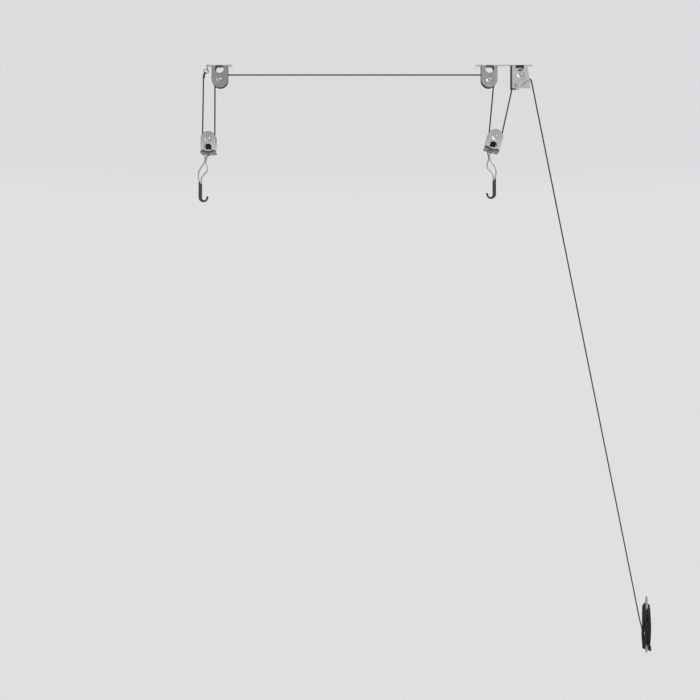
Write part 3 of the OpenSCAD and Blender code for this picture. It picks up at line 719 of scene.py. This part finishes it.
# The leg clips through the near ear and back, and then crosses to the coils
lead_in = [end + np.array(offset) for end, offset in (
    (heel, (0, -9.2, 0)), (heel, (0, -12.9, 0.1)), (heel, (0, -13.5, 1.2)),
    (leg, (0, -13.5, -1.2)), (leg, (0, -12.9, -0.1)), (leg, (0, -8, 0)),
    (leg, (0, 7.0, 0)), (leg, (0.6, 8.0, -0.8)),
)]
cam_spring = tube("cam_spring_coil", spline(v3(lead_in + spring_points), 0.5 * MM),
                  SPRING_WIRE_R, black_steel, 12)
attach(cam_spring, "frame")
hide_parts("cam_spring")


# ---------------------------------------------------------------- finishes on the CAD nodes

FINISHES = {
    "bracket_steel": bracket_zinc,
    "light_steel": light_zinc,
    "cam_steel": cam_metal,
    "bright_zinc": zinc,
    "black_steel": black_steel,
    "black_nylon": nylon,
    "soft_black": vinyl,
    "black_rope": rope_black,
    "cleat_grey": cleat_paint,
}
# Nodes that look different from the rest of their slot: the hook plates carry painted shade, and the blocks get
# painted light, paler towards the foot
OWN_FINISHES = {
    "left_hook_plate": shaded_plate_zinc,
    "right_hook_plate": shaded_plate_zinc,
    "anchor_ring": wire_zinc,
}
# Painted light: the left block's zinc is made paler than the right's, to make up for the weaker light at the far
# left
for side, tone in (("left", 0.84), ("right", 0.78)):
    low, high = sorted({corner[2] for corner in frame["nodes"][f"{side}_block"].bound_box})
    OWN_FINISHES[f"{side}_block"] = tumbled_steel(
        f"{side}_block_steel", (tone, tone + 0.005, tone + 0.01), 0.36, 0.46,
        painted_gradient=(low, high, 1.18, 0.70),
    )
for part in frame["record"]["subparts"]:
    node = frame["nodes"][part["node"]]
    finish = OWN_FINISHES.get(part["node"], FINISHES[part["material_slot"]])
    if not node.material_slots:
        node.data.materials.append(finish)
    for material_slot in node.material_slots:
        material_slot.material = finish


# ---------------------------------------------------------------- floor, world and light

FLOOR_Z = -2.45
FLOOR_X, FLOOR_Y = (-7.0, 8.0), (-8.0, 1.45)


def floor_material():
    """Pale smooth concrete."""
    n = Nodes("floor")
    cloud = n.noise(1.3, 3.0)
    grain = n.noise(240.0, 4.0, 0.6)
    tone = n.mix(cloud, (0.70, 0.70, 0.70), (0.75, 0.75, 0.75))
    return n.finish(tone, n.ramp(grain, (0.3, 0.7), (0.7, 0.85)), n.bump(grain, 0.1, 0.0005))


floor = mesh_object(
    "floor",
    [(FLOOR_X[i], FLOOR_Y[j], FLOOR_Z) for i, j in ((0, 0), (1, 0), (1, 1), (0, 1))],
    [(0, 1, 2, 3)], floor_material(), smooth=False,
)

# The camera sees an even pale backdrop. The light comes from a studio that is bright behind and
# below the hoist, brighter from the upper right of the camera and dark from its lower left.
world = bpy.data.worlds.new("studio")
world.use_nodes = True
bpy.context.scene.world = world
wt = world.node_tree
wn = wt.nodes
direction = wn.new("ShaderNodeTexCoord").outputs["Generated"]
height = wn.new("ShaderNodeSeparateXYZ")
wt.links.new(direction, height.inputs["Vector"])


def sky_ramp(value, *stops):
    """Colour along a value, as Nodes.ramp does for a material."""
    node = wn.new("ShaderNodeValToRGB")
    wt.links.new(value, node.inputs["Fac"])
    fill_ramp(node.color_ramp, stops)
    return node.outputs["Color"]


def towards(x, y, z):
    """How far a direction turns to (x, y, z): 0 opposite, 0.5 across, 1 along."""
    dot = wn.new("ShaderNodeVectorMath")
    dot.operation = "DOT_PRODUCT"
    wt.links.new(direction, dot.inputs[0])
    dot.inputs[1].default_value = Vector((x, y, z)).normalized()
    half = wn.new("ShaderNodeMath")
    half.operation = "MULTIPLY_ADD"
    wt.links.new(dot.outputs["Value"], half.inputs[0])
    half.inputs[1].default_value = 0.5
    half.inputs[2].default_value = 0.5
    return half.outputs["Value"]


def sky_mix(factor, a, b):
    """a where the factor is 0, and b where it is 1."""
    node = wn.new("ShaderNodeMix")
    node.data_type = "RGBA"
    wt.links.new(factor, node.inputs["Factor"])
    wt.links.new(a, node.inputs[6])
    wt.links.new(b, node.inputs[7])
    return node.outputs[2]


backdrop = sky_ramp(height.outputs["Z"], (0.150, 0.745), (0.180, (0.708, 0.716, 0.730)))
front = sky_ramp(
    towards(0.52, -0.62, 0.58), (0.30, 0.08), (0.62, 0.20), (0.80, 0.50), (0.92, 0.56), (0.97, 0.9)
)
behind = sky_ramp(height.outputs["Z"], (0.0, 1.05), (0.25, 0.75))
studio = sky_mix(sky_ramp(towards(0, 1, 0), (0.5, 0.0), (0.68, 1.0)), front, behind)
seen = wn.new("ShaderNodeLightPath").outputs["Is Camera Ray"]
background = wn["Background"]
wt.links.new(sky_mix(seen, studio, backdrop), background.inputs["Color"])
background.inputs["Strength"].default_value = 1.0


def area_light(name, place, target, size, power):
    """Round soft light that faces its target."""
    data = bpy.data.lights.new(name, "AREA")
    data.shape = "DISK"
    data.size = size
    data.energy = power
    light = bpy.data.objects.new(name, data)
    light.location = place
    light.rotation_euler = (Vector(target) - Vector(place)).to_track_quat("-Z", "Y").to_euler()
    bpy.context.scene.collection.objects.link(light)


area_light("key", (5.4, -3.4, 3.6), (0.5, 0, -0.3), 1.6, 160)
area_light("fill", (-3.0, -4.0, 0.5), (0.5, 0, -0.8), 3.0, 8)
bpy.context.scene.view_settings.view_transform = "Standard"
